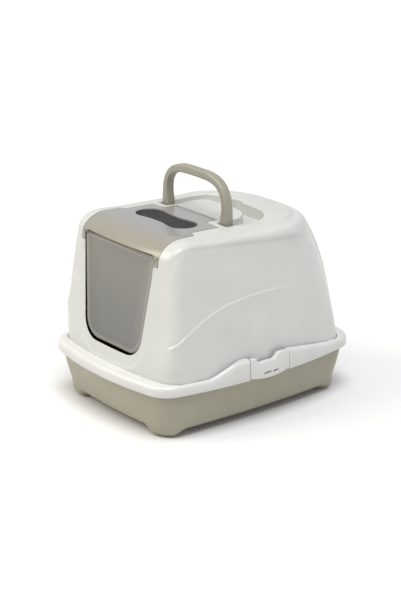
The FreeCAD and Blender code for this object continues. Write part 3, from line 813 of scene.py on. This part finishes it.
def cover_hardware():
    """Knuckle of the cover's hinge and the two ears that hold the door."""
    parts = [rod_mesh(3.3, -62.4, 62.4, COVER_AXIS_Y, COVER_AXIS_Z)]
    parts += [rod_mesh(5.0, x, x + 4.4, DOOR_AXIS_Y, DOOR_AXIS_Z) for x in (108.4, -112.8)]
    web = prism([(-22, 357.6), (-17.5, 357.6), (-18.5, 359.4), (-22, 361.2)], -61.5, 61.5, "X")
    parts.append(web)
    for part in parts:
        part.name = "cover_fitting"
        finish_piece(part, "cover", COVER, "cover_grey", "flip_cover")


def door_ring(inset, depth):
    """Outline of the door, inset, lying depth behind its front plane."""
    foot, low, top = DOOR_HALF_FOOT - inset, DOOR_LOW + inset, 336 - inset
    head = foot + DOOR_FLARE * (top - low)
    corner, crest = DOOR_CORNER - inset, max(9 - inset, 2)
    plan = rounded_outline(
        [(foot, low), (head, top), (-head, top), (-foot, low)], [corner, crest, crest, corner], 16
    )
    x, z = np.array(plan).T
    y = DOOR_AXIS_Y - 1.8 + depth + DOOR_LEAN * (z - DOOR_AXIS_Z)
    return np.column_stack((x, y, z))


def door():
    # inset from the edge, depth behind the front plane, and the finish up to the next ring
    panel, rim, bevel = 0, 1, 2
    profile = [
        (60, 2.9, panel), (13, 2.9, panel), (10.5, 3.1, panel), (8.4, 3.5, bevel),
        (1.0, 3.6, bevel), (0.25, 3.3, bevel), (0, 2.7, bevel), (0, 0.9, bevel),
        (0.3, 0.25, bevel), (1.1, 0, rim), (5.4, 0, rim), (6.0, 0.12, rim),
        (8.6, 1.35, bevel), (9.6, 1.7, panel), (60, 1.7, panel),
    ]
    rings = [door_ring(min(inset, 34), depth) for inset, depth, _ in profile]
    flap = loft("door_panel", rings)
    roll = rod_mesh(3, -105.6, 105.6, DOOR_AXIS_Y, DOOR_AXIS_Z)
    roll.name = "door_roll"
    for part in (flap, roll):
        finish_piece(part, "door", DOOR, "door_smoke", "door_flap", crease=50)
    flap.data.materials.append(DOOR_RIM)
    flap.data.materials.append(DOOR_BEVEL_AND_GAP_SHADE)
    count = len(rings[0])
    for i, (_, _, finish) in enumerate(profile[:-1]):
        for face in flap.data.polygons[1 + i * count:1 + (i + 1) * count]:
            face.material_index = finish


TRAY_STEPS = (36, 22, 56, 22, 36)
TRAY_DRAFT = 0.277  # slope of the wall
FOOT_X, FOOT_Y, UNDERSIDE, TRAY_ROUND = 127, 189, 13, 12


def tray_outline(z, inset=0.0):
    share = (z - UNDERSIDE) / (RIM_BASE - UNDERSIDE)
    widen = TRAY_DRAFT * (z - RIM_BASE) - inset
    corner = max(53 - 8 * share - inset, 2)
    side_r, end_r = 2270 - 1320 * share, 1110 - 430 * share
    return barrel(
        191.5 + widen, 241 + widen, 241 + widen, side_r, end_r, end_r, corner, corner, TRAY_STEPS
    )


def foot_share(plan):
    """How far each place under the tray belongs to one of the four feet."""
    gap = np.hypot(np.abs(plan[:, 0]) - FOOT_X, np.abs(plan[:, 1]) - FOOT_Y)
    return 1 - smooth(gap, 17, 36)


def tray_body():
    """The tray, with feet that grow out of its corners."""
    rings = []

    def add(plan, z):
        rings.append(np.column_stack((plan, np.broadcast_to(z, len(plan)))))

    for inset in (125, 95, *np.linspace(72, TRAY_ROUND, 17)):
        plan = tray_outline(UNDERSIDE, inset)
        add(plan, UNDERSIDE * (1 - foot_share(plan)))
    share = foot_share(tray_outline(UNDERSIDE, TRAY_ROUND))
    for angle in np.radians(np.linspace(10, 90, 9)):
        rise = TRAY_ROUND * (1 - math.cos(angle))
        plan = tray_outline(UNDERSIDE + rise, TRAY_ROUND * (1 - math.sin(angle)))
        middle = np.sign(plan) * (FOOT_X, FOOT_Y)
        inward = (middle - plan) / np.maximum(np.linalg.norm(middle - plan, axis=1), 1)[:, None]
        plan = plan + inward * (TRAY_DRAFT * UNDERSIDE * share * math.cos(angle))[:, None]
        add(plan, UNDERSIDE * (1 - share) + rise)
    for z in (33, 45, 60, 75, 90, 100, 107.9):
        add(tray_outline(z), z)
    for inset, z in ((0.25, 108.4), (0.8, 108.7), (2.2, 108.7), (2.8, 108.4), (3, 107.8)):
        add(tray_outline(z, inset), z)
    floor, soft = UNDERSIDE + WALL, 9
    for z in (80, 50, floor + soft):
        add(tray_outline(z, WALL), z)
    for angle in np.radians(np.linspace(15, 90, 6)):
        z = floor + soft * (1 - math.sin(angle))
        add(tray_outline(z, WALL + soft * (1 - math.cos(angle))), z)
    add(tray_outline(floor, 70), floor)
    body = loft("tray_body", rings)
    finish_piece(body, "tray", TAUPE, "tray_taupe", "tray")
    for side in (-1, 1):
        section = rounded_outline(
            [(191, 96.8), (197.3, 98), (197.3, 99.6), (191, 100.8)], [0.3, 0.8, 0.8, 0.3], 3
        )
        catch = prism([(side * x, z) for x, z in section], -20, 20, "Y")
        catch.name = "tray_catch"
        finish_piece(catch, "tray", TAUPE, "tray_taupe", "tray")


CLIP_FACE, CLIP_HALF, CLIP_AXIS_X, CLIP_AXIS_Z, CLIP_BARREL = 201.2, 46.7, 194.2, 129, 3.6


def clip_plate(side, sign):
    """Side clip: a curved plate with two ears, a dip between them and two slots."""
    rings = []
    for y in np.linspace(-CLIP_HALF, CLIP_HALF, 64):
        dip = smooth(y, -37, -25) * (1 - smooth(y, 7, 23))
        top = CLIP_AXIS_Z + CLIP_BARREL - 10.4 * dip
        low = 88.3 + 6.7 * (y / CLIP_HALF) ** 2
        face = CLIP_FACE - y * y / 2100
        back, inner = CLIP_AXIS_X - CLIP_BARREL, face - 3.4
        section = [
            (inner, low + 0.8), (inner + 0.8, low), (face - 0.9, low), (face - 0.25, low + 0.3),
            (face, low + 1.1), (face, (low + top) / 2),
        ]
        turn = np.radians(np.linspace(0, 90, 6))
        section += [(face - 3.2 + 3.2 * math.cos(a), top - 3.2 + 3.2 * math.sin(a)) for a in turn]
        section += [
            (back + CLIP_BARREL - CLIP_BARREL * math.sin(a), top - CLIP_BARREL * (1 - math.cos(a)))
            for a in turn
        ]
        section += [(back, top - 5.5), (inner - 2, top - 8.2), (inner, top - 12)]
        rings.append([(sign * x, sign * y, z) for x, z in section])
    plate = loft(f"clip_plate_{side}", rings)
    make_outward(plate)
    slots = []
    for y0, y1 in ((-15, 2.5), (6.5, 20)):
        slot = rounded_outline([(y0, 96.9), (y1, 97.7), (y1, 101), (y0, 100.2)], [1.2] * 4, 4)
        x0, x1 = sorted((sign * 195, sign * 206))
        slots.append(prism([(sign * y, z) for y, z in slot], x0, x1, "X"))
    beak = prism(
        [(sign * x, z) for x, z in ((198.6, 93.2), (195.2, 93.8), (195.2, 96.4), (198.6, 97))],
        -17.6, 17.6, "Y",
    )
    combine(plate, [beak], "UNION")
    combine(plate, slots)
    finish_piece(plate, f"clip_{side}", CLIP, "hood_white", f"side_clip_{side}")


HANDLE_AXIS_Y, HANDLE_AXIS_Z, HANDLE_DEPTH = -14, 352, 9


def handle():
    """The carrying handle: legs that flare towards their feet and a slim rounded grip."""
    # outer and inner (x, z) of one half, from the foot to the middle of the grip
    stations = np.array([
        (97.4, 362, 76.6, 362), (97.2, 370, 77.8, 370), (96.8, 379, 79.7, 380),
        (96.2, 388, 80.7, 390), (95.2, 398, 80.2, 400), (92.8, 409, 77.9, 409),
        (88.2, 420, 73.4, 416.5), (80.8, 430, 67, 422.6), (70.8, 438, 59, 427.2),
        (58.4, 443.6, 49.4, 430.2), (43.6, 447.2, 38, 431.8), (26, 448.4, 23.6, 432.6),
        (9, 448.5, 8.5, 432.8),
    ])
    half = []
    for z in (343.15, 343.9, 345.6, 348, 352):
        depth = math.sqrt(max(HANDLE_DEPTH**2 - (HANDLE_AXIS_Z - z) ** 2, 2))
        half.append(((97.3, z, 76.6, z), depth))
    half += [(tuple(row), HANDLE_DEPTH) for row in stations]
    other = [((-x0, z0, -x1, z1), depth) for (x0, z0, x1, z1), depth in half[::-1]]
    rings = []
    for (x0, z0, x1, z1), depth in half + other:
        outer, inner = np.array((x0, z0)), np.array((x1, z1))
        wide = np.hypot(*(outer - inner)) / 2
        along, middle = (outer - inner) / (2 * wide), (outer + inner) / 2
        soft = min(3.8, wide - 0.3, depth - 0.3)
        section = rounded_outline(
            [(wide, -depth), (wide, depth), (-wide, depth), (-wide, -depth)], [soft] * 4, 6
        )
        rings.append([
            (middle[0] + along[0] * u, HANDLE_AXIS_Y + v, middle[1] + along[1] * u)
            for u, v in section
        ])
    bar = loft("handle_bar", rings)
    make_outward(bar)
    finish_piece(bar, "handle", HANDLE, "handle_taupe", "carry_handle")


def lip_bead():
    """Rolled edge of the cover round the top of the door, coloured dark brown as a painted shadow
    in the gap between cover and door.
    """
    outline = [p for p in door_shape(1.8, 338.5, 11) if p[1] > 328]
    start = max(range(len(outline)), key=lambda i: np.hypot(
        *(np.array(outline[i]) - outline[i - 1])))
    outline = np.array(outline[start:] + outline[:start])
    path = dense(outline, 4)
    last = np.hypot(*(path - outline[-1]).T).argmin()
    path = path[:last + 1]
    tree = surface_tree(hood_grid(0, 5, 300))
    front = [tree.ray_cast(Vector((x, -400, z)), Vector((0, 1, 0)))[0].y + 0.55 for x, z in path]
    middle = np.column_stack((path[:, 0], front, path[:, 1]))
    ahead = np.gradient(middle, axis=0)
    ahead /= np.linalg.norm(ahead, axis=1, keepdims=True)
    rings = []
    for point, way in zip(middle, ahead):
        side = np.cross(way, (0, 1, 0))
        side /= np.linalg.norm(side)
        other = np.cross(way, side)
        angles = np.arange(10) / 10 * 2 * math.pi
        rings.append([point + 0.8 * (side * math.cos(a) + other * math.sin(a)) for a in angles])
    bead = loft("cover_lip", rings)
    make_outward(bead)
    # The dark brown here is painted shadow of the gap between the cover and the door.
    finish_piece(bead, "cover", DOOR_BEVEL_AND_GAP_SHADE, "cover_grey", "flip_cover", crease=60)


def filter_mat():
    """The fibre pad, a little fuller in the middle and rough all over."""
    random = np.random.default_rng(7)
    half_x, half_y, y, low = 83.6, 35.6, -83, 348.9

    def ring(inset, z, rough):
        plan = rounded_outline(
            [(half_x - inset, y - half_y + inset), (half_x - inset, y + half_y - inset),
             (inset - half_x, y + half_y - inset), (inset - half_x, y - half_y + inset)],
            [max(5 - inset, 0.5)] * 4, 6,
        )
        plan = np.array(plan)
        fine = []
        for i, (a, b) in enumerate(zip(plan, np.roll(plan, -1, 0))):
            steps = np.arange(12 if i % 7 == 6 else 1)
            fine += [a + (b - a) * t / len(steps) for t in steps]
        bumps = random.normal(0, rough, len(fine))
        return np.column_stack((np.array(fine), z + bumps))

    rings = [ring(3, low + 0.4, 0), ring(0.6, low + 0.9, 0), ring(0, low + 2.4, 0)]
    rings += [ring(0, low + 5.0, 0), ring(0.8, low + 6.6, 0.05)]
    for inset in np.linspace(2.5, 33, 16):
        rings.append(ring(inset, low + 7.2 + 3.9 * smooth(inset, 0.5, 9), 0.14))
    mat = loft("filter_mat", rings)
    finish_piece(mat, "cover", FILTER, "filter_charcoal", "filter_pad", crease=80)


hood_skin()
cover_seat()
flange()
tray_body()
clip_plate("right", 1)
clip_plate("left", -1)
handle()
flip_cover()
lip_bead()
cover_hardware()
door()
filter_mat()


# ---------------------------------------------------------------- stage, light and camera


def floor():
    mesh = bpy.data.meshes.new("floor")
    half = 12
    mesh.from_pydata(
        [(-half, -half, 0), (half, -half, 0), (half, half, 0), (-half, half, 0)], [], [(0, 1, 2, 3)]
    )
    obj = bpy.data.objects.new("floor", mesh)
    bpy.context.scene.collection.objects.link(obj)
    look = Look("floor_white", (0.74, 0.74, 0.74), 0.8).mottle(0.01, 3)
    paint(obj, look.material)


def sun(name, towards, strength, softness, color):
    """A distant soft light that shines from the given direction."""
    data = bpy.data.lights.new(name, "SUN")
    data.energy, data.angle, data.color = strength, math.radians(softness), color
    obj = bpy.data.objects.new(name, data)
    obj.rotation_euler = Vector(towards).to_track_quat("Z", "Y").to_euler()
    bpy.context.scene.collection.objects.link(obj)


def world():
    sky = bpy.data.worlds.new("studio")
    bpy.context.scene.world = sky
    sky.use_nodes = True
    background = sky.node_tree.nodes["Background"]
    background.inputs["Color"].default_value = (1, 1, 1, 1)
    background.inputs["Strength"].default_value = 0.57


SENSOR, LENS = 36, 101.204925  # in mm


def camera():
    azimuth, elevation, distance = math.radians(51.49), math.radians(19.56), 3.2436
    back = Vector(
        (
            math.sin(azimuth) * math.cos(elevation),
            -math.cos(azimuth) * math.cos(elevation),
            math.sin(elevation),
        )
    )
    right = Vector((math.cos(azimuth), math.sin(azimuth), 0))
    target = right * -0.0043 + Vector((0, 0, 0.18245))
    data = bpy.data.cameras.new("camera")
    data.sensor_fit, data.sensor_height, data.sensor_width = "VERTICAL", SENSOR, SENSOR
    data.lens = LENS
    obj = bpy.data.objects.new("camera", data)
    obj.location = target + back * distance
    obj.rotation_euler = (-back).to_track_quat("-Z", "Y").to_euler()
    bpy.context.scene.collection.objects.link(obj)
    bpy.context.scene.camera = obj


floor()
world()
sun("key", (-0.42, -0.72, 0.62), 1.4, 38, (1, 0.92, 0.77))
sun("top", (0.28, -0.16, 1), 2.3, 34, (0.985, 0.99, 1))
camera()
bpy.context.scene.view_settings.view_transform = "Standard"
